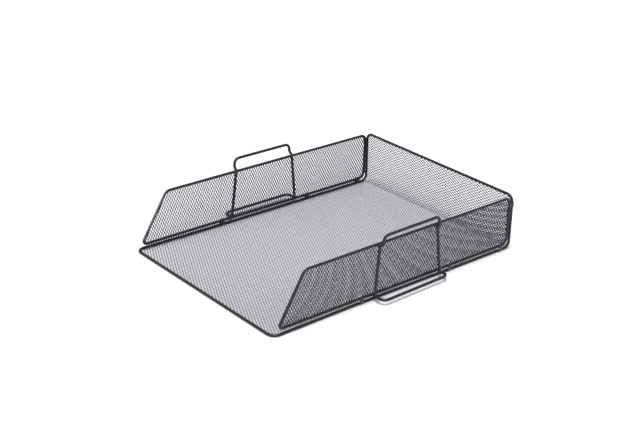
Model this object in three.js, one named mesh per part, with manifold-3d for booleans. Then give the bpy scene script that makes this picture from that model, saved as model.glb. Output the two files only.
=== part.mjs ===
// A desk letter tray of bent wire and expanded metal, whose two sides fold down over the base.
// Millimetres, +Z up. The open front faces -Y. The origin is on the desk, under the middle.
import * as THREE from 'three';
import Module from 'manifold-3d';
import { mergeVertices } from 'three/addons/utils/BufferGeometryUtils.js';

const wasm = await Module();
wasm.setup();

// Overall sizes, to the outside of the wires
const trayWidth = 254;
const trayDepth = 350;
const backHeight = 67.4;
const sideHeight = 65.9;

// Wire thicknesses
const frameWire = 3.2;
const loopWire = 3.4;

// Bends of the ring, which runs round the base and up round the back. Its base rails spread a
// little over the last stretch to the front.
const ringFrontBend = 9;
const ringFootBend = 8;
const ringTopBend = 8;
const ringSpread = 1.8;
const spreadRun = 110;
const spreadBend = 60;

// Side frames: daylight to the ring below the rail and behind the heel, the slanted front and the
// four bends. At the top the upright leans back until it meets the ring.
const sideGap = 1.9;
const heelGap = 1.5;
const sideSetback = 7.3;
const slantRun = 34.6;
const sideToeBend = 4;
const sideHeelBend = 9;
const sideTopBend = 7;
const sideBrowBend = 9;

// Stacking loops: place along the side, handle above the rim and foot at the bottom. The handle
// leans to one end of the loop, and the foot flares at the other.
const loopPlace = 10.2;
const loopHeight = 78.3;
const handleLength = 83.6;
const handleReach = 7.8;
const handleLean = 1.1;
const handleBend = 6.5;
const jogBend = 2.5;
const jogDrop = 1;
const legSpread = 95.8;
const footFlare = 3.2;
const footReach = 16.9;
const footLift = 4;
const footBend = 7;
const heelBend = 3;

// Expanded metal: sheet, diamond pitch along and across the diamonds, and strand width
const sheetThickness = 0.6;
const meshLong = 32.5;
const meshShort = 21;
const strandWidth = 2.4;
const smallestHole = 0.12;

// Hinge straps and latch clips, both of thin sheet
const stripThickness = 0.5;
const strapWidth = 5;
const strapSetbacks = { front: 227.9, middle: 97.9, rear: 15.4 };
const strapFootLift = 1.1;
const clipHeight = 6;
const clipWrap = 40;
const clipProng = 45;

// Clearance between pieces that touch, and round a wire that turns in a strap
const seat = 0.3;

// Facets: sides of a wire, and the most that one facet of a bend turns
const wireSides = 8;
const bendStep = THREE.MathUtils.degToRad(15);

// Middle lines of the frame wires
const frameR = frameWire / 2;
const railX = trayWidth / 2 - frameR;
const backY = trayDepth / 2 - frameR;
const frontY = -backY;
const baseZ = frameR;
const backTopZ = backHeight - frameR;
const sideZ = baseZ + frameWire + sideGap;
const sideRise = sideHeight - frameR - sideZ;
const heelY = backY - frameWire - heelGap;
const shoulderY = backY - frameWire - seat;

// Places of the hinge straps, set out forward from the ring's back
const strapPlaces = Object.entries(strapSetbacks).map(([place, setback]) => ({ place, y: backY - setback }));

// How far a sheet's edge lies inside the middle line of the wire round it
const sheetInset = frameR + seat;

const blackCoat = new THREE.MeshStandardMaterial({ color: 0x2e2c31, roughness: 0.45, metalness: 0.15 });
const meshCoat = new THREE.MeshStandardMaterial({ color: 0x2a282d, roughness: 0.55, metalness: 0.1 });
const stripCoat = new THREE.MeshStandardMaterial({ color: 0x3a383e, roughness: 0.4, metalness: 0.25 });

const X = new THREE.Vector3(1, 0, 0);
const Y = new THREE.Vector3(0, 1, 0);
const Z = new THREE.Vector3(0, 0, 1);

// A closed wire bent round the corners of a polygon. Each corner is { at, bend }, and facing is
// the way that one flat of the wire looks on the run before the first corner.
class BentWire extends THREE.Curve {
  constructor(corners, facing) {
    super();
    this.rows = [];
    const count = corners.length;
    const before = (i) => (i + count - 1) % count;
    const runs = corners.map(({ at }, i) => corners[(i + 1) % count].at.clone().sub(at));
    const turns = corners.map((corner, i) => runs[before(i)].angleTo(runs[i]));
    const reaches = corners.map(({ bend }, i) => bend * Math.tan(turns[i] / 2));
    const room = runs.map((run, i) => 0.98 * run.length() / (reaches[i] + reaches[(i + 1) % count]));
    let face = facing.clone();
    corners.forEach(({ at }, i) => {
      const reach = reaches[i] * Math.min(1, room[i], room[before(i)]);
      const radius = reach / Math.tan(turns[i] / 2);
      const heading = runs[before(i)].clone().normalize();
      const axis = heading.clone().cross(runs[i]).normalize();
      const inward = axis.clone().cross(heading);
      const start = at.clone().addScaledVector(heading, -reach);
      const steps = Math.ceil(turns[i] / bendStep - 0.01);
      for (let k = 0; k <= steps; k++) {
        const swing = turns[i] * k / steps;
        this.rows.push({
          point: start.clone()
            .addScaledVector(heading, radius * Math.sin(swing))
            .addScaledVector(inward, radius * (1 - Math.cos(swing))),
          tangent: heading.clone().applyAxisAngle(axis, swing),
          face: face.clone().applyAxisAngle(axis, swing),
        });
      }
      face.applyAxisAngle(axis, turns[i]);
    });
  }

  getPointAt(u, target = new THREE.Vector3()) {
    return target.copy(this.rows[Math.round(u * this.rows.length) % this.rows.length].point);
  }

  computeFrenetFrames() {
    const tangents = this.rows.map(({ tangent }) => tangent);
    const normals = this.rows.map(({ face, tangent }) => face.clone().applyAxisAngle(tangent, Math.PI / wireSides));
    const binormals = tangents.map((tangent, i) => tangent.clone().cross(normals[i]));
    return { tangents, normals, binormals };
  }
}

// A closed wire of a given thickness, measured across its flats
function wire(corners, facing, thickness) {
  const path = new BentWire(corners, facing);
  const radius = thickness / 2 / Math.cos(Math.PI / wireSides);
  return new THREE.TubeGeometry(path, path.rows.length, radius, wireSides, true);
}

// Flat outlines are drawn in a plane of their own, as corners with bends, anticlockwise
function corner(x, y, bend) {
  return { at: new THREE.Vector3(x, y, 0), bend };
}

// The points of an outline that lies a given distance inside the middle line of a wire
function outline(corners, inset) {
  const count = corners.length;
  const moved = corners.map(({ at, bend }, i) => {
    const back = corners[(i + count - 1) % count].at.clone().sub(at).normalize();
    const ahead = corners[(i + 1) % count].at.clone().sub(at).normalize();
    const half = back.angleTo(ahead) / 2;
    const inward = back.add(ahead).normalize();
    return { at: at.clone().addScaledVector(inward, inset / Math.sin(half)), bend: Math.max(bend - inset, 0.5) };
  });
  return new BentWire(moved, Z).rows.map(({ point }) => new THREE.Vector2(point.x, point.y));
}

// Joins and cuts of closed meshes
function solidOf(geometry) {
  const bare = geometry.clone();
  bare.deleteAttribute('normal');
  bare.deleteAttribute('uv');
  const merged = mergeVertices(bare, 1e-5);
  return new wasm.Manifold(new wasm.Mesh({
    numProp: 3,
    vertProperties: new Float32Array(merged.attributes.position.array),
    triVerts: new Uint32Array(merged.index.array),
  }));
}

function geometryOf(solid) {
  const { vertProperties, triVerts } = solid.getMesh();
  const geometry = new THREE.BufferGeometry();
  geometry.setAttribute('position', new THREE.BufferAttribute(vertProperties, 3));
  geometry.setIndex(new THREE.BufferAttribute(triVerts, 1));
  geometry.computeVertexNormals();
  return geometry;
}

// A flat shape given a thickness, half of it on each side of its plane
function slab(points, thickness) {
  const options = { depth: thickness, bevelEnabled: false };
  return new THREE.ExtrudeGeometry(new THREE.Shape(points), options).translate(0, 0, -thickness / 2);
}

// Turns the plane in which a shape is drawn: its x and y come to lie along two given axes
function laidOn(geometry, xAxis, yAxis) {
  return geometry.applyMatrix4(new THREE.Matrix4().makeBasis(xAxis, yAxis, xAxis.clone().cross(yAxis)));
}

// The part of a hole that lies inside an anticlockwise window
function clipped(hole, window) {
  return window.reduce((points, from, i) => {
    const to = window[(i + 1) % window.length];
    const depth = (p) => (to.x - from.x) * (p.y - from.y) - (to.y - from.y) * (p.x - from.x);
    return points.flatMap((p, j) => {
      const next = points[(j + 1) % points.length];
      const kept = depth(p) >= 0 ? [p] : [];
      if ((depth(p) >= 0) === (depth(next) >= 0)) return kept;
      return [...kept, p.clone().lerp(next, depth(p) / (depth(p) - depth(next)))];
    });
  }, hole);
}

// The diamond holes of expanded metal inside a window, with their long way along x or along y.
// The pitch is fitted so that whole and half diamonds fill the window's width and height.
function diamonds(window, alongX) {
  const box = new THREE.Box2().setFromPoints(window);
  const size = box.getSize(new THREE.Vector2());
  const columns = Math.round(size.x / (alongX ? meshLong : meshShort));
  const rows = Math.round(size.y / (alongX ? meshShort : meshLong));
  const half = new THREE.Vector2(size.x / columns / 2, size.y / rows / 2);
  const shrink = 1 - strandWidth / 2 * half.length() / (half.x * half.y);
  const reach = half.clone().multiplyScalar(shrink);
  const smallest = smallestHole * 2 * reach.x * reach.y;
  const holes = [];
  for (let i = 0; i <= 2 * columns; i++) {
    for (let j = (i + 1) % 2; j <= 2 * rows; j += 2) {
      const middle = box.min.clone().add(new THREE.Vector2(i, j).multiply(half));
      const whole = [[1, 0], [0, 1], [-1, 0], [0, -1]].map(([x, y]) =>
        new THREE.Vector2(x, y).multiply(reach).add(middle));
      const hole = clipped(whole, window);
      if (hole.length > 2 && THREE.ShapeUtils.area(hole) > smallest) holes.push(hole);
    }
  }
  return holes;
}

// The ring: one closed wire, round the base and up round the back
function trayRing() {
  const at = (x, y, z, bend) => ({ at: new THREE.Vector3(x, y, z), bend });
  const half = (outward) => [
    at(outward * (railX + ringSpread), frontY, baseZ, ringFrontBend),
    at(outward * railX, frontY + spreadRun, baseZ, spreadBend),
    at(outward * railX, backY, baseZ, ringFootBend),
    at(outward * railX, backY, backTopZ, ringTopBend),
  ];
  return wire([...half(1), ...half(-1).toReversed()], Z.clone().negate(), frameWire);
}

// The base and back sheet, as it lies before it is bent: v runs from the front rail's middle line
// along the base, through the bend and up the back
const bendStart = backY - ringFootBend - frontY;
const bendEnd = bendStart + ringFootBend * Math.PI / 2;
const sheetLength = bendEnd + backTopZ - baseZ - ringFootBend;
const bendRows = Math.ceil(Math.PI / 2 / bendStep - 0.01);
const creases = Array.from({ length: bendRows + 1 }, (_, k) =>
  THREE.MathUtils.lerp(bendStart, bendEnd, k / bendRows));

// Where a point of the unbent sheet goes: x across, v along, h above the sheet's middle
function bentUp(x, v, h) {
  if (v <= bendStart) return new THREE.Vector3(x, frontY + v, baseZ + h);
  if (v >= bendEnd) return new THREE.Vector3(x, backY - h, baseZ + ringFootBend + v - bendEnd);
  const swing = (v - bendStart) / ringFootBend;
  const radius = ringFootBend - h;
  return new THREE.Vector3(
    x,
    backY - ringFootBend + radius * Math.sin(swing),
    baseZ + ringFootBend - radius * Math.cos(swing),
  );
}

// A punch for one hole of the base and back sheet, bent with the sheet
function punch(hole) {
  const reach = ringFootBend / 2;
  const points = hole.flatMap((p, i) => {
    const next = hole[(i + 1) % hole.length];
    const crossings = creases
      .map((v) => (v - p.y) / (next.y - p.y))
      .filter((t) => t > 0.001 && t < 0.999)
      .sort((a, b) => a - b);
    return [p, ...crossings.map((t) => p.clone().lerp(next, t))];
  });
  const geometry = slab(points, 2 * reach);
  const position = geometry.attributes.position;
  for (let i = 0; i < position.count; i++) {
    const { x, y, z } = bentUp(position.getX(i), position.getY(i), position.getZ(i));
    position.setXYZ(i, x, y, z);
  }
  return solidOf(geometry);
}

// The base and back: one sheet of expanded metal, bent up at the back
function baseAndBackMesh() {
  const edge = sheetInset;
  const half = sheetThickness / 2;
  const stations = [edge, ...creases, sheetLength - edge];
  const side = (h) => stations.map((v) => bentUp(0, v, h)).map(({ y, z }) => new THREE.Vector2(y, z));
  const bentSheet = solidOf(laidOn(slab([...side(-half), ...side(half).reverse()], trayWidth), Y, Z));
  const plan = outline([
    corner(-railX, frontY, ringFrontBend),
    corner(railX, frontY, ringFrontBend),
    corner(railX, trayDepth, ringFrontBend),
    corner(-railX, trayDepth, ringFrontBend),
  ], edge);
  const elevation = outline([
    corner(railX, backTopZ, ringTopBend),
    corner(-railX, backTopZ, ringTopBend),
    corner(-railX, -backHeight, ringTopBend),
    corner(railX, -backHeight, ringTopBend),
  ], edge);
  const rim = edge + strandWidth;
  const window = outline([
    corner(-railX, 0, ringFrontBend),
    corner(railX, 0, ringFrontBend),
    corner(railX, sheetLength, ringTopBend),
    corner(-railX, sheetLength, ringTopBend),
  ], rim);
  const trimmed = bentSheet
    .intersect(solidOf(slab(plan, 4 * backHeight)))
    .intersect(solidOf(laidOn(slab(elevation, 2 * trayDepth), X, Z)));
  return geometryOf(trimmed.subtract(wasm.Manifold.union(diamonds(window, true).map(punch))));
}

// A side's outline in its own plane, measured from the hinge line: y back, z up
const sideCorners = [
  corner(frontY + sideSetback, 0, sideToeBend),
  corner(heelY, 0, sideHeelBend),
  corner(shoulderY, sideRise, sideTopBend),
  corner(frontY + sideSetback + slantRun, sideRise, sideBrowBend),
];

// A side frame: a closed wire with a slanted front
function sideFrame() {
  const standing = sideCorners.map(({ at, bend }) => ({ at: new THREE.Vector3(0, at.x, at.y), bend }));
  return wire(standing, X, frameWire);
}

// A side's expanded metal, notched where the hinge straps pass over the bottom rail
function sideMesh() {
  const sheet = laidOn(slab(outline(sideCorners, sheetInset), sheetThickness), Y, Z);
  const holes = diamonds(outline(sideCorners, sheetInset + strandWidth), false);
  const punches = holes.map((hole) => laidOn(slab(hole, frameWire), Y, Z));
  const strapTop = frameR + seat + stripThickness;
  const notches = strapPlaces.map(({ y }) =>
    new THREE.BoxGeometry(frameWire, strapWidth + 2 * seat, 2 * (strapTop + seat)).translate(0, y, 0));
  return geometryOf(solidOf(sheet).subtract(wasm.Manifold.union([...punches, ...notches].map(solidOf))));
}

// A stacking loop: one closed wire, with a handle bar above the rim and a foot bar at the bottom.
// Its own x runs out from the side, and its own y starts midway between the feet of its legs.
function stackingLoop() {
  const loopR = loopWire / 2;
  const legReach = frameR + seat + loopR;
  const barZ = loopHeight - loopR - sideZ;
  const footZ = footLift + loopR - sideZ;
  const jogFoot = sideRise - jogDrop;
  const jogTop = jogFoot + handleReach - legReach;
  const legY = (end, z) => {
    const rise = (z - footZ) / (sideRise - footZ);
    return THREE.MathUtils.lerp(end * legSpread / 2, end * handleLength / 2 - handleLean, rise);
  };
  const leg = (end) => [
    [handleReach, legY(end, barZ), barZ, handleBend],
    [handleReach, legY(end, jogTop), jogTop, jogBend],
    [legReach, legY(end, jogFoot), jogFoot, jogBend],
    [legReach, legY(end, footZ), footZ, heelBend],
    [footReach, legY(end, footZ) + (end > 0 ? footFlare : 0), footZ, footBend],
  ];
  const corners = [...leg(1), ...leg(-1).toReversed()];
  return wire(corners.map(([x, y, z, bend]) => ({ at: new THREE.Vector3(x, y, z), bend })), Z, loopWire);
}

// The points of an arc about a centre, between two angles in degrees
function arc(x, y, radius, from, to) {
  const steps = Math.ceil(THREE.MathUtils.degToRad(Math.abs(to - from)) / bendStep - 0.01);
  return Array.from({ length: steps + 1 }, (_, k) => {
    const angle = THREE.MathUtils.degToRad(from + (to - from) * k / steps);
    return new THREE.Vector2(x + radius * Math.cos(angle), y + radius * Math.sin(angle));
  });
}

// Thin strip bent along a trace, which gives the strip's face at a given radius from the wires
function strip(trace, width) {
  const inner = frameR + seat;
  return slab([...trace(inner + stripThickness), ...trace(inner).reverse()], width);
}

// A hinge strap: runs up from the ring's rail, over the side's bottom rail and down inside
function hingeStrap() {
  const tail = baseZ + sheetThickness / 2 + seat;
  const trace = (r) => [
    new THREE.Vector2(r, strapFootLift),
    ...arc(0, sideZ, r, 0, 180),
    new THREE.Vector2(-r, tail),
  ];
  return laidOn(strip(trace, strapWidth), X, Z);
}

// The latch clips' top edge lies as high as the side's upright is straight, to within half the seat
const clipTop = sideZ + sideRise - sideTopBend + Math.sqrt(sideTopBend * seat);
const clipZ = clipTop - clipHeight / 2;

// A latch clip: starts behind the ring's upright and reaches forward to hook round the side's
// upright. outward is 1 on the right side and -1 on the left.
function latchClip(outward) {
  const uprightY = THREE.MathUtils.lerp(heelY, shoulderY, (clipZ - sideZ) / sideRise);
  const trace = (r) => [...arc(0, backY, r, clipWrap, 0), ...arc(0, uprightY, r, 0, -clipProng)];
  const mirrored = (r) => trace(r).map(({ x, y }) => new THREE.Vector2(outward * x, y));
  return strip(mirrored, clipHeight);
}

function piece(name, geometry, material) {
  const mesh = new THREE.Mesh(geometry, material);
  mesh.name = name;
  return mesh;
}

const tray = new THREE.Group();
tray.add(piece('tray_ring', trayRing(), blackCoat));
tray.add(piece('base_and_back_mesh', baseAndBackMesh(), meshCoat));

for (const [side, outward] of [['right', 1], ['left', -1]]) {
  const turn = outward > 0 ? 0 : Math.PI;
  const hingeLine = new THREE.Group();
  hingeLine.position.set(outward * railX, 0, sideZ);
  hingeLine.add(piece(`${side}_side_frame`, sideFrame(), blackCoat));
  hingeLine.add(piece(`${side}_side_mesh`, sideMesh(), meshCoat));
  const loop = piece(`${side}_stacking_loop`, stackingLoop(), blackCoat);
  loop.position.y = loopPlace;
  loop.rotation.z = turn;
  hingeLine.add(loop);
  tray.add(hingeLine);

  for (const { place, y } of strapPlaces) {
    const strap = piece(`${side}_hinge_strap_${place}`, hingeStrap(), stripCoat);
    strap.position.set(outward * railX, y, 0);
    strap.rotation.z = turn;
    tray.add(strap);
  }

  const clip = piece(`${side}_latch_clip`, latchClip(outward), stripCoat);
  clip.position.set(outward * railX, 0, clipZ);
  tray.add(clip);
}

export default tray;
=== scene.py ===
# A desk letter tray of bent wire and expanded metal, dressed for its picture.
# Metres, +Z up. The open front faces -Y, and the tray stands on Z = 0.
import math

import bmesh
import bpy
import numpy as np
from mathutils import Matrix, Vector


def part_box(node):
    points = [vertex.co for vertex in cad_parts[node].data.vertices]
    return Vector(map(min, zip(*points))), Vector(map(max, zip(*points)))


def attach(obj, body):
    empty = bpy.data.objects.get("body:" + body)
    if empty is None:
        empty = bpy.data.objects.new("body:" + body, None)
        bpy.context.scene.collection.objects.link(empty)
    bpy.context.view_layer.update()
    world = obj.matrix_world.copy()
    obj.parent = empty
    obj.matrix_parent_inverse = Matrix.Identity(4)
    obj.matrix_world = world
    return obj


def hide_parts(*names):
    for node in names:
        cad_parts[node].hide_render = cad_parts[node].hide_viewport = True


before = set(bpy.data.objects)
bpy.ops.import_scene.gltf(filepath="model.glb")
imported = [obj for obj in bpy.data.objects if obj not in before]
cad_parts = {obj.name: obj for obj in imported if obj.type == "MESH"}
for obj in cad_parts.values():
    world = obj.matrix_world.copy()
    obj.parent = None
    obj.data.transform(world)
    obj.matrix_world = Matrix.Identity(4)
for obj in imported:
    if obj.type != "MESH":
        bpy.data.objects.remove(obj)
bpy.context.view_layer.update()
mm = 0.001

# The view. The camera looks down from the front right corner of the tray, where it sees over the
# near side to the far one. It is rolled a little, as a camera held by hand is.
picture_width = 640
azimuth = math.radians(49.96)
elevation = math.radians(24.257)
roll = math.radians(1.221)
aim = Vector((-81.18, 60.81, 0)) * mm
distance = 1617.8 * mm
focal_pixels = 1324.4
centre_offset_pixels = 0.5

back = Vector((
    math.sin(azimuth) * math.cos(elevation),
    -math.cos(azimuth) * math.cos(elevation),
    math.sin(elevation),
))
level = Vector((0, 0, 1)).cross(back).normalized()
upright = back.cross(level)
right = math.cos(roll) * level + math.sin(roll) * upright
up = back.cross(right)

camera = bpy.data.objects.new("camera", bpy.data.cameras.new("camera"))
bpy.context.scene.collection.objects.link(camera)
camera_turn = Matrix((right, up, back)).transposed().to_4x4()
camera.matrix_world = Matrix.Translation(aim + distance * back) @ camera_turn
camera.data.lens = focal_pixels * camera.data.sensor_width / picture_width
camera.data.shift_x = -centre_offset_pixels / picture_width
camera.data.shift_y = centre_offset_pixels / picture_width
bpy.context.scene.camera = camera
bpy.context.scene.view_settings.view_transform = "Standard"

# The ring. One steel wire is bent round the base and up round the back, and its ends are butt
# welded under the left rail. It is coated with black powder, baked on, like every other piece.
frame_wire = 3.2 * mm
ring_front_bend = 9 * mm
ring_foot_bend = 8 * mm
ring_top_bend = 8 * mm
ring_spread = 1.8 * mm
spread_run = 110 * mm
spread_bend = 60 * mm
wire_facets = 24
bend_step = math.radians(5)

ring_low, ring_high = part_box("tray_ring")
rail_x = ring_high.x - frame_wire / 2 - ring_spread
front_y = ring_low.y + frame_wire / 2
back_y = ring_high.y - frame_wire / 2
base_z = ring_low.z + frame_wire / 2
back_top_z = ring_high.z - frame_wire / 2


def bend_rows(corners):
    """The points and headings of a closed wire with corners (place, bend radius)."""
    rows = []
    for i, (at, bend) in enumerate(corners):
        heading = (at - corners[i - 1][0]).normalized()
        onward = (corners[(i + 1) % len(corners)][0] - at).normalized()
        turn = heading.angle(onward)
        axis = heading.cross(onward).normalized()
        inward = axis.cross(heading)
        start = at - heading * (bend * math.tan(turn / 2))
        steps = math.ceil(turn / bend_step)
        for k in range(steps + 1):
            swing = turn * k / steps
            place = start + heading * (bend * math.sin(swing)) + inward * (bend * (1 - math.cos(swing)))
            rows.append((place, Matrix.Rotation(swing, 3, axis) @ heading))
    return rows


def add_wire(bm, corners, thickness):
    """Sweeps a round wire along a closed path, with its small twist spread over the whole length."""
    rows = bend_rows(corners)
    across = [rows[0][1].orthogonal().normalized()]
    for (_, before), (_, heading) in zip(rows, rows[1:] + rows[:1]):
        across.append(before.rotation_difference(heading) @ across[-1])
    first, last = across[0], across.pop()
    twist = math.atan2(last.cross(first).dot(rows[0][1]), last.dot(first))
    lengths = [(b[0] - a[0]).length for a, b in zip(rows, rows[1:] + rows[:1])]
    run = 0
    hoops = []
    for (place, heading), spoke, length in zip(rows, across, lengths):
        turned = Matrix.Rotation(twist * run / sum(lengths), 3, heading) @ spoke
        hoop = []
        for k in range(wire_facets):
            out = Matrix.Rotation(math.tau * k / wire_facets, 3, heading) @ turned
            hoop.append(bm.verts.new(place + out * thickness / 2))
        hoops.append(hoop)
        run += length
    for hoop, following in zip(hoops, hoops[1:] + hoops[:1]):
        for k in range(wire_facets):
            bm.faces.new((hoop[k], hoop[k - 1], following[k - 1], following[k]))


def coated_piece(name, bm, material, body, nodes, smooth=True):
    """Makes a piece of the tray from its mesh, in place of the CAD nodes that it stands for."""
    bmesh.ops.recalc_face_normals(bm, faces=bm.faces[:])
    mesh = bpy.data.meshes.new(name)
    bm.to_mesh(mesh)
    bm.free()
    if smooth:
        mesh.shade_smooth()
    else:
        mesh.shade_flat()
    mesh.materials.append(material)
    piece = bpy.data.objects.new(name, mesh)
    bpy.context.scene.collection.objects.link(piece)
    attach(piece, body)
    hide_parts(*nodes)
    return piece


cloud_scale = 60
cloudy_gloss = 0.16
dust_facing_least = 0.2
dust_most = 0.7
peel_strength = 0.5


def powder_coat_skin():
    """Baked powder coat: a fine orange-peel skin, cloudy gloss, and dust on what faces up."""
    group = bpy.data.node_groups.new("powder_coat_skin", "ShaderNodeTree")
    face = group.interface
    for socket, kind in (("Coat", "Color"), ("Dust", "Color"), ("Peel", "Float"), ("Gloss", "Float")):
        face.new_socket(socket, in_out="INPUT", socket_type=f"NodeSocket{kind}")
    for socket, kind in (("Color", "Color"), ("Roughness", "Float"), ("Height", "Float")):
        face.new_socket(socket, in_out="OUTPUT", socket_type=f"NodeSocket{kind}")
    nodes, links = group.nodes, group.links
    given = nodes.new("NodeGroupInput")
    result = nodes.new("NodeGroupOutput")
    spot = nodes.new("ShaderNodeTexCoord")

    peel = nodes.new("ShaderNodeTexNoise")
    peel.inputs["Detail"].default_value = 2
    links.new(spot.outputs["Object"], peel.inputs["Vector"])
    links.new(given.outputs["Peel"], peel.inputs["Scale"])
    links.new(peel.outputs["Fac"], result.inputs["Height"])

    clouds = nodes.new("ShaderNodeTexNoise")
    clouds.inputs["Scale"].default_value = cloud_scale
    clouds.inputs["Detail"].default_value = 4
    links.new(spot.outputs["Object"], clouds.inputs["Vector"])
    gloss = nodes.new("ShaderNodeMath")
    gloss.operation = "MULTIPLY_ADD"
    gloss.inputs[1].default_value = cloudy_gloss
    links.new(clouds.outputs["Fac"], gloss.inputs[0])
    links.new(given.outputs["Gloss"], gloss.inputs[2])
    links.new(gloss.outputs[0], result.inputs["Roughness"])

    facing = nodes.new("ShaderNodeSeparateXYZ")
    links.new(spot.outputs["Normal"], facing.inputs[0])
    settled = nodes.new("ShaderNodeMapRange")
    settled.inputs["From Min"].default_value = dust_facing_least
    settled.inputs["To Max"].default_value = dust_most
    links.new(facing.outputs["Z"], settled.inputs["Value"])
    patchy = nodes.new("ShaderNodeMath")
    patchy.operation = "MULTIPLY"
    links.new(settled.outputs[0], patchy.inputs[0])
    links.new(clouds.outputs["Fac"], patchy.inputs[1])
    tint = nodes.new("ShaderNodeMix")
    tint.data_type = "RGBA"
    links.new(patchy.outputs[0], tint.inputs["Factor"])
    links.new(given.outputs["Coat"], tint.inputs["A"])
    links.new(given.outputs["Dust"], tint.inputs["B"])
    links.new(tint.outputs["Result"], result.inputs["Color"])
    return group


coat_skin = powder_coat_skin()


def black_coat(name, coat, dust, peel_scale, gloss, relief):
    """A black powder coat, with its own colour, dust, orange peel per metre, gloss and relief."""
    material = bpy.data.materials.new(name)
    material.use_nodes = True
    nodes, links = material.node_tree.nodes, material.node_tree.links
    shader = nodes["Principled BSDF"]
    skin = nodes.new("ShaderNodeGroup")
    skin.node_tree = coat_skin
    skin.inputs["Coat"].default_value = (*coat, 1)
    skin.inputs["Dust"].default_value = (*dust, 1)
    skin.inputs["Peel"].default_value = peel_scale
    skin.inputs["Gloss"].default_value = gloss
    bump = nodes.new("ShaderNodeBump")
    bump.inputs["Strength"].default_value = peel_strength
    bump.inputs["Distance"].default_value = relief
    links.new(skin.outputs["Color"], shader.inputs["Base Color"])
    links.new(skin.outputs["Roughness"], shader.inputs["Roughness"])
    links.new(skin.outputs["Height"], bump.inputs["Height"])
    links.new(bump.outputs["Normal"], shader.inputs["Normal"])
    return material


wire_coat = black_coat(
    "wire_powder_coat",
    coat=(0.0105, 0.008, 0.014),
    dust=(0.026, 0.021, 0.031),
    peel_scale=900,
    gloss=0.24,
    relief=0.03 * mm,
)


def ring_half(outward):
    """The corners of one half of the ring, whose base rail spreads a little towards the front."""
    return [
        (Vector((outward * (rail_x + ring_spread), front_y, base_z)), ring_front_bend),
        (Vector((outward * rail_x, front_y + spread_run, base_z)), spread_bend),
        (Vector((outward * rail_x, back_y, base_z)), ring_foot_bend),
        (Vector((outward * rail_x, back_y, back_top_z)), ring_top_bend),
    ]


bm = bmesh.new()
add_wire(bm, [*ring_half(1), *reversed(ring_half(-1))], frame_wire)
coated_piece("ring_wire", bm, wire_coat, "tray", ["tray_ring"])

# The base and back. One sheet of expanded metal is welded on the ring's inner face and bent up at
# the back. It is slit and stretched, so each strand and each joint of strands stands on a slant.
strand_width = 0.65 * mm
strand_thickness = 0.22 * mm
strand_slant = 0.33 * mm
sheet_set = (frame_wire + strand_thickness) / 2
strand_reach = 4 * mm
sheet_lap = 0.9 * mm
base_overlap = 0.6 * mm
edge_arc_step = math.radians(22.5)
cut_tolerance = 1e-7
spare_diamonds = 3

base_widths = (Vector((6.148, 0.2185)) * mm, Vector((-0.214, 3.477)) * mm)

RIGHT, UP, LEFT, DOWN = range(4)


def diamond_lattice(low, high, long_way, short_way, slant):
    """Strands and joints of expanded metal over a flat rectangle, with the diamonds' two widths
    as given: the points, and the faces as rows of four point numbers."""
    half = np.array((long_way, short_way)) / 2
    shrink = 1 - strand_width / 2 * np.hypot(*np.hypot(*half.T)) / np.linalg.det(half)
    corners = np.array([(x, y) for x in (low[0], high[0]) for y in (low[1], high[1])]) @ np.linalg.inv(half)
    first = np.floor(corners.min(0)).astype(int) - spare_diamonds
    last = np.ceil(corners.max(0)).astype(int) + spare_diamonds
    i, j = np.meshgrid(*(np.arange(a, b + 1) for a, b in zip(first, last)), indexing="ij")
    is_hole = (i + j) % 2 == 0
    number = np.where(is_hole, np.cumsum(is_hole).reshape(is_hole.shape) - 1, -1)
    middles = np.stack((i[is_hole], j[is_hole]), 1) @ half

    # Each hole has eight points: its four corners, each on the upper and the lower face.
    points = np.zeros((len(middles), 4, 2, 3))
    ways = ((RIGHT, half[0], 0), (UP, half[1], 1), (LEFT, -half[0], 0), (DOWN, -half[1], -1))
    for corner, way, lift in ways:
        points[:, corner, :, :2] = (middles + shrink * way)[:, None]
        for layer, side in enumerate((1, -1)):
            points[:, corner, layer, 2] = lift * slant + side * strand_thickness / 2

    here = number[:-2, 1:-1]
    above, below, beyond = number[1:-1, 2:], number[1:-1, :-2], number[2:, 1:-1]
    whole = here >= 0
    here, above, below, beyond = here[whole], above[whole], below[whole], beyond[whole]
    outlines = (
        ((here, RIGHT), (above, DOWN), (above, LEFT), (here, UP)),
        ((here, DOWN), (below, LEFT), (below, UP), (here, RIGHT)),
        ((here, RIGHT), (below, UP), (beyond, LEFT), (above, DOWN)),
    )
    faces = []
    for outline in outlines:
        top = np.stack([hole * 8 + corner * 2 for hole, corner in outline], 1)
        bottom = top + 1
        faces += [top, bottom[:, ::-1]]
    every = np.arange(len(middles)) * 8
    for corner in range(4):
        here_top, next_top = every + corner * 2, every + (corner + 1) % 4 * 2
        faces.append(np.stack((here_top, next_top, next_top + 1, here_top + 1), 1))
    return points.reshape(-1, 3), np.concatenate(faces)


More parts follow.
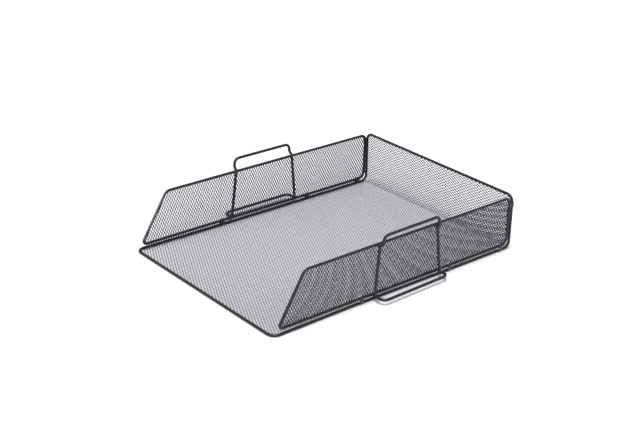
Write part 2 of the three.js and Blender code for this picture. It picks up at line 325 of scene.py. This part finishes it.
def expanded_metal(name, widths, slant, corners, notches, place, body, node):
    """A sheet of expanded metal that laps over a wire with corners (x, y, bend), has a notch in
    each box (low, high) of notches, and is laid where place(x, y, height) says."""
    flat = [(Vector((x, y, 0)), bend) for x, y, bend in corners]
    low = [min(at[k] for at, _ in flat) - sheet_lap for k in (0, 1)]
    high = [max(at[k] for at, _ in flat) + sheet_lap for k in (0, 1)]
    points, faces = diamond_lattice(low, high, *widths, slant)
    mesh = bpy.data.meshes.new(name)
    mesh.from_pydata(points, [], faces)
    bm = bmesh.new()
    bm.from_mesh(mesh)
    bpy.data.meshes.remove(mesh)
    for i, (at, bend) in enumerate(flat):
        heading = (at - flat[i - 1][0]).normalized()
        onward = (flat[(i + 1) % len(flat)][0] - at).normalized()
        turn = heading.angle(onward)
        centre = at - heading * (bend * math.tan(turn / 2)) + Vector((-heading.y, heading.x, 0)) * bend
        steps = math.ceil(turn / edge_arc_step)
        for k in range(steps):
            outward = Matrix.Rotation(turn * (k + 0.5) / steps, 3, "Z") @ Vector((heading.y, -heading.x, 0))
            trim(bm, centre + outward * (bend + sheet_lap), outward)
        outward = Vector((onward.y, -onward.x, 0))
        trim(bm, at + outward * sheet_lap, outward)
    for low, high in notches:
        notch(bm, low, high)
    bmesh.ops.holes_fill(bm, edges=[edge for edge in bm.edges if edge.is_boundary], sides=0)
    for vert in bm.verts:
        vert.co = place(*vert.co)
    return coated_piece(name, bm, mesh_coat, body, [node], smooth=False)


def trim(bm, at, outward):
    """Cuts a sheet along a line and drops what lies outward of it."""
    geometry = bm.verts[:] + bm.edges[:] + bm.faces[:]
    bmesh.ops.bisect_plane(
        bm, geom=geometry, dist=cut_tolerance, plane_co=at, plane_no=outward, clear_outer=True,
    )


def notch(bm, low, high):
    """Cuts a rectangle out of a sheet."""
    near = [face for face in bm.faces if within(face.verts[0].co, low, high, strand_reach)]
    for at, way in ((low, (1, 0, 0)), (low, (0, 1, 0)), (high, (1, 0, 0)), (high, (0, 1, 0))):
        edges = {edge for face in near for edge in face.edges}
        verts = {vert for face in near for vert in face.verts}
        left = bmesh.ops.bisect_plane(
            bm, geom=[*verts, *edges, *near], dist=cut_tolerance, plane_co=(*at, 0), plane_no=way,
        )
        near = [part for part in left["geom"] if isinstance(part, bmesh.types.BMFace)]
    inside = [face for face in near if within(face.calc_center_median(), low, high, 0)]
    bmesh.ops.delete(bm, geom=inside, context="FACES")


def within(point, low, high, margin):
    """Whether a point of a sheet lies in a box or within a margin of it."""
    return all(a - margin < p < b + margin for p, a, b in zip(point, low, high))


mesh_coat = black_coat(
    "mesh_powder_coat",
    coat=(0.0125, 0.010, 0.016),
    dust=(0.031, 0.026, 0.036),
    peel_scale=1500,
    gloss=0.3,
    relief=0.01 * mm,
)

# The sheet bends sharper than the ring, and its back is set less far in, clear of a folded side.
sheet_bend = 2.8 * mm
back_set = 1 * mm
bend_y = back_y - back_set - sheet_bend
bend_z = base_z + sheet_set + sheet_bend
bend_start = bend_y - front_y
bend_end = bend_start + sheet_bend * math.pi / 2
sheet_length = bend_end + back_top_z - bend_z


def bent_up(x, along, height):
    """Where a point of the flat sheet goes once the sheet is bent up round the back."""
    swing = min(max(along - bend_start, 0) / sheet_bend, math.pi / 2)
    radius = sheet_bend - height
    return Vector((
        x,
        front_y + min(along, bend_start) + radius * math.sin(swing),
        bend_z - radius * math.cos(swing) + max(along - bend_end, 0),
    ))


strap_width = 5 * mm
strap_setbacks = {"front": 227.9 * mm, "middle": 97.9 * mm, "rear": 15.4 * mm}
notch_width = 6.2 * mm
notch_depth = 3 * mm

base_notches = []
for setback in strap_setbacks.values():
    middle = back_y - setback - front_y
    start, end = middle - notch_width / 2, middle + notch_width / 2
    base_notches.append(((rail_x - notch_depth, start), (rail_x + 2 * sheet_lap, end)))
    base_notches.append(((-rail_x - 2 * sheet_lap, start), (-rail_x + notch_depth, end)))

sheet_x = rail_x + base_overlap
expanded_metal("base_and_back_sheet", base_widths, strand_slant, [
    (-sheet_x, 0, ring_front_bend),
    (sheet_x, 0, ring_front_bend),
    (sheet_x, sheet_length, ring_top_bend),
    (-sheet_x, sheet_length, ring_top_bend),
], base_notches, bent_up, "tray", "base_and_back_mesh")

# The sides. Each is a closed wire with a slanted front, and a sheet of expanded metal welded in it
# with the diamonds' long way upright. It stands on the ring's rail and can fold down inward. The
# left one leans out a little towards its front, and its toe is a little further forward.
side_setback = 7.3 * mm
slant_run = 34.6 * mm
side_heel_lean = 1.2 * mm
side_toe_bend = 4 * mm
side_heel_bend = 9 * mm
side_top_bend = 7 * mm
side_brow_bend = 9 * mm

side_low, side_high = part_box("right_side_frame")
side_z = side_low.z + frame_wire / 2
side_top_z = side_high.z - frame_wire / 2
shoulder_y = side_high.y - frame_wire / 2
side_toes = {"right": 0, "left": 1.8 * mm}


def side_corners(side):
    """The corners (y, z, bend) of a side's wire. The left one's toe is a little further forward."""
    return [
        (front_y + side_setback - side_toes[side], side_z, side_toe_bend),
        (shoulder_y - side_heel_lean, side_z, side_heel_bend),
        (shoulder_y, side_top_z, side_top_bend),
        (front_y + side_setback + slant_run, side_top_z, side_brow_bend),
    ]


side_widths = {
    "right": (Vector((6.071, -0.106)) * mm, Vector((0, 3.619)) * mm),
    "left": (Vector((6.209, -0.2444)) * mm, Vector((0.0276, 3.421)) * mm),
}
sheet_droop = 1.2 * mm
slant_inset = 1.3 * mm
side_leans = {"right": 0, "left": 1.2 * mm}
side_notches = []
for setback in strap_setbacks.values():
    start, end = back_y - setback - notch_width / 2, back_y - setback + notch_width / 2
    side_notches.append(((side_z - sheet_droop - 2 * sheet_lap, start), (side_z + notch_depth, end)))


def lean_out(side, y, z):
    """How far a side leans outward at a place: the left one does a little, towards its front."""
    rise = (z - side_z) / (side_top_z - side_z)
    run = (shoulder_y - y) / (shoulder_y - front_y - side_setback - slant_run)
    return side_leans[side] * rise * run


for side, outward in (("right", 1), ("left", -1)):
    def stood_up(z, y, height):
        return Vector((outward * (rail_x + lean_out(side, y, z) - sheet_set - height), y, z))

    body = f"{side}_side"
    corners = side_corners(side)
    bm = bmesh.new()
    path = [(Vector((outward * (rail_x + lean_out(side, y, z)), y, z)), bend) for y, z, bend in corners]
    add_wire(bm, path, frame_wire)
    coated_piece(f"{body}_wire", bm, wire_coat, body, [f"{body}_frame"])
    # The sheet droops a little at its bottom edge, and ends a little behind the slanted front.
    outline = [
        (z - sheet_droop if z == side_z else z, y + slant_inset if y < 0 else y, bend)
        for y, z, bend in reversed(corners)
    ]
    expanded_metal(
        f"{body}_sheet", side_widths[side], outward * strand_slant, outline, side_notches,
        stood_up, body, f"{body}_mesh",
    )

# The stacking loops. Each is a closed wire outside a side, welded where its legs cross the side's
# top and bottom rails. Its handle steps out over the rim, and its foot lies out on the desk side.
loop_wire = 3.4 * mm
loop_place = 10.2 * mm
loop_height = 78.3 * mm
handle_length = 83.6 * mm
handle_reach = 7.8 * mm
handle_lean = 1.1 * mm
handle_bend = 6.5 * mm
jog_bend = 2.5 * mm
jog_drop = 1 * mm
leg_gap = 0.3 * mm
leg_spread = 95.8 * mm
foot_flare = 3.2 * mm
foot_reach = 16.9 * mm
foot_lift = 4 * mm
foot_bend = 7 * mm
heel_bend = 3 * mm
loop_twist = 1.4 * mm
weld_size = Vector((1.5, 2.4, 1.5)) * mm
weld_rings = 12

leg_reach = (frame_wire + loop_wire) / 2 + leg_gap
bar_z = loop_height - loop_wire / 2
foot_z = foot_lift + loop_wire / 2
jog_foot_z = side_top_z - jog_drop
jog_top_z = jog_foot_z + handle_reach - leg_reach


def leg_y(end, z):
    """How far along the loop a leg lies at a height: the legs draw in and lean as they rise."""
    rise = (z - foot_z) / (side_top_z - foot_z)
    return (1 - rise) * end * leg_spread / 2 + rise * (end * handle_length / 2 - handle_lean)


def loop_leg(end, twist):
    """The corners of one leg, from the handle bar down to the foot bar, which both twist a bit."""
    flare = foot_flare if end > 0 else 0
    handle_x = handle_reach - end * twist / 2
    foot_x = foot_reach - end * twist
    return [
        (Vector((handle_x, leg_y(end, bar_z), bar_z)), handle_bend),
        (Vector((handle_x, leg_y(end, jog_top_z), jog_top_z)), jog_bend),
        (Vector((leg_reach, leg_y(end, jog_foot_z), jog_foot_z)), jog_bend),
        (Vector((leg_reach, leg_y(end, foot_z), foot_z)), heel_bend),
        (Vector((foot_x, leg_y(end, foot_z) + flare, foot_z)), foot_bend),
    ]


def add_weld(bm, at):
    """A small bead of weld in the crevice between two wires."""
    shape = Matrix.Translation(at) @ Matrix.Diagonal((*weld_size, 1))
    bmesh.ops.create_uvsphere(bm, u_segments=2 * weld_rings, v_segments=weld_rings, radius=1, matrix=shape)


for side, outward, twist in (("right", 1, loop_twist), ("left", -1, 0)):
    bm = bmesh.new()
    add_wire(bm, [*loop_leg(1, twist), *reversed(loop_leg(-1, twist))], loop_wire)
    for end in (1, -1):
        for z in (side_z, jog_foot_z):
            add_weld(bm, Vector((frame_wire / 2 + leg_gap / 2, leg_y(end, z), z)))
    turned = Matrix.Rotation(0 if outward > 0 else math.pi, 4, "Z")
    bm.transform(Matrix.Translation((outward * rail_x, loop_place, 0)) @ turned)
    for vert in bm.verts:
        vert.co.x += outward * lean_out(side, vert.co.y, vert.co.z)
    coated_piece(f"{side}_loop_wire", bm, wire_coat, f"{side}_side", [f"{side}_stacking_loop"])

# The hinge straps. Three strips of thin steel on each side are wrapped over the side's bottom rail
# and down past the ring's rail, where the side turns in them.
strip_thickness = 0.4 * mm
strip_edge = 0.12 * mm
running_gap = 0.15 * mm
strap_foot_lift = 1.1 * mm
strap_tail_lift = 3.6 * mm
strip_arc_step = math.radians(6)
sharp_angle = math.radians(50)

strip_coat = black_coat(
    "strip_powder_coat",
    coat=(0.022, 0.020, 0.024),
    dust=(0.050, 0.047, 0.053),
    peel_scale=1200,
    gloss=0.22,
    relief=0.02 * mm,
)


def arc(centre, radius, start, end):
    """Points round a centre, between two angles in degrees."""
    start, end = math.radians(start), math.radians(end)
    steps = math.ceil(abs(end - start) / strip_arc_step)
    turns = [start + (end - start) * k / steps for k in range(steps + 1)]
    return [centre + radius * Vector((math.cos(turn), math.sin(turn))) for turn in turns]


def add_strip(bm, trace, levels, place):
    """A bent strip. trace(radius) draws its face at a distance from the wires, each level is how
    far across the strip a row of points lies and how far it stands out, and place puts them."""
    inner_radius = frame_wire / 2 + running_gap
    grids = []
    for radius in (inner_radius, inner_radius + strip_thickness):
        grids.append([
            [bm.verts.new(place(p, across)) for p in trace(radius + out)]
            for across, out in levels
        ])
    inner, outer = grids
    rows, columns = len(levels), len(inner[0])
    for i in range(rows - 1):
        for j in range(columns - 1):
            bm.faces.new((inner[i][j], inner[i + 1][j], inner[i + 1][j + 1], inner[i][j + 1]))
            bm.faces.new((outer[i][j], outer[i][j + 1], outer[i + 1][j + 1], outer[i + 1][j]))
    for j in range(columns - 1):
        bm.faces.new((inner[0][j], inner[0][j + 1], outer[0][j + 1], outer[0][j]))
        bm.faces.new((inner[-1][j], outer[-1][j], outer[-1][j + 1], inner[-1][j + 1]))
    for i in range(rows - 1):
        bm.faces.new((inner[i][0], outer[i][0], outer[i + 1][0], inner[i + 1][0]))
        bm.faces.new((inner[i][-1], inner[i + 1][-1], outer[i + 1][-1], outer[i][-1]))
    bmesh.ops.recalc_face_normals(bm, faces=bm.faces[:])
    sharp = [edge for edge in bm.edges if edge.calc_face_angle(0) > sharp_angle]
    bmesh.ops.bevel(bm, geom=sharp, offset=strip_edge, segments=2, profile=0.5, affect="EDGES")


def strap_trace(radius):
    """The strap's face, from its foot outside the rails, over the side's rail and down inside."""
    over = arc(Vector((0, side_z)), radius, 0, 180)
    return [Vector((radius, strap_foot_lift)), *over, Vector((-radius, strap_tail_lift))]


for side, outward in (("right", 1), ("left", -1)):
    for name, setback in strap_setbacks.items():
        def strap_place(p, across):
            return Vector((outward * (rail_x + p.x), back_y - setback + across, p.y))

        bm = bmesh.new()
        add_strip(bm, strap_trace, [(-strap_width / 2, 0), (strap_width / 2, 0)], strap_place)
        node = f"{side}_hinge_strap_{name}"
        coated_piece(f"{side}_{name}_strap", bm, strip_coat, "tray", [node])

# The latch clips. A springy strip on each back upright of the ring hooks round the side's upright
# and holds it up. Its lower edge is turned out, so that a thumb can spring it free.
clip_wrap = 40
clip_prong = 45
clip_lip = 0.5 * mm
clip_low, clip_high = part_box("right_latch_clip")
clip_middle_z = (clip_low.z + clip_high.z) / 2
clip_rise = (clip_middle_z - side_z) / (side_top_z - side_z)
clip_side_y = shoulder_y - (1 - clip_rise) * side_heel_lean
clip_levels = [
    (clip_low.z, clip_lip),
    (clip_low.z + clip_lip, clip_lip / 3),
    (clip_low.z + 3 * clip_lip, 0),
    (clip_high.z, 0),
]


def clip_trace(radius):
    """The clip's face, from behind the ring's upright to the hook round the side's upright."""
    return [
        *arc(Vector((0, back_y)), radius, clip_wrap, 0),
        *arc(Vector((0, clip_side_y)), radius, 0, -clip_prong),
    ]


for side, outward in (("right", 1), ("left", -1)):
    bm = bmesh.new()
    add_strip(bm, clip_trace, clip_levels, lambda p, z: Vector((outward * (rail_x + p.x), p.y, z)))
    coated_piece(f"{side}_clip", bm, strip_coat, "tray", [f"{side}_latch_clip"])

# The studio. The tray stands on a plain white table in even light from all round, under one lamp
# high above it, which draws a thin shadow below each wire. A wider lamp fills in from the front
# right, and a weak softbox gives the left side's wire its sheen.
floor_size = 40
light_tint = (0.99, 0.975, 1)
lamp_light = 0.62 * math.pi
lamp_spread = math.radians(14)
lamp_tilt = (math.radians(4), 0, 0)
fill_light = 0.36 * math.pi
fill_spread = math.radians(50)
fill_tilt = (math.radians(50), 0, math.radians(60))
room_light = 0.45
room_glint = 0.5
background = 1.0
softbox_size = 1.6
softbox_power = 45
softbox_place = Vector((-0.24, -0.95, 0.38))
softbox_aim = Vector((-0.125, -0.15, 0.035))

bm = bmesh.new()
bmesh.ops.create_grid(bm, x_segments=1, y_segments=1, size=floor_size / 2)
floor_mesh = bpy.data.meshes.new("floor")
bm.to_mesh(floor_mesh)
bm.free()
floor = bpy.data.objects.new("floor", floor_mesh)
bpy.context.scene.collection.objects.link(floor)

floor_paint = bpy.data.materials.new("floor_paint")
floor_paint.use_nodes = True
paint = floor_paint.node_tree.nodes["Principled BSDF"]
paint.inputs["Base Color"].default_value = (0.965, 0.955, 0.985, 1)
paint.inputs["Roughness"].default_value = 0.9
paint.inputs["Specular IOR Level"].default_value = 0
floor_mesh.materials.append(floor_paint)

for name, light, spread, tilt in (
    ("overhead_lamp", lamp_light, lamp_spread, lamp_tilt),
    ("fill_lamp", fill_light, fill_spread, fill_tilt),
):
    lamp = bpy.data.objects.new(name, bpy.data.lights.new(name, "SUN"))
    lamp.data.color = light_tint
    lamp.data.energy = light
    lamp.data.angle = spread
    lamp.rotation_euler = tilt
    bpy.context.scene.collection.objects.link(lamp)

softbox = bpy.data.objects.new("softbox", bpy.data.lights.new("softbox", "AREA"))
softbox.data.size = softbox_size
softbox.data.energy = softbox_power
softbox.location = softbox_place
softbox.rotation_euler = (softbox_place - softbox_aim).to_track_quat("Z", "Y").to_euler()
softbox.visible_diffuse = False
softbox.light_linking.receiver_collection = bpy.data.collections.new("softbox_only")
softbox.light_linking.receiver_collection.objects.link(bpy.data.objects["left_side_wire"])
bpy.context.scene.collection.objects.link(softbox)

room = bpy.data.worlds.new("room")
bpy.context.scene.world = room
room.use_nodes = True
nodes, links = room.node_tree.nodes, room.node_tree.links
nodes["Background"].inputs["Color"].default_value = (*light_tint, 1)
ray = nodes.new("ShaderNodeLightPath")
mirrored = nodes.new("ShaderNodeMapRange")
mirrored.inputs["To Min"].default_value = room_light
mirrored.inputs["To Max"].default_value = room_glint
links.new(ray.outputs["Is Glossy Ray"], mirrored.inputs["Value"])
strength = nodes.new("ShaderNodeMapRange")
strength.inputs["To Max"].default_value = background
links.new(ray.outputs["Is Camera Ray"], strength.inputs["Value"])
links.new(mirrored.outputs[0], strength.inputs["To Min"])
links.new(strength.outputs[0], nodes["Background"].inputs["Strength"])
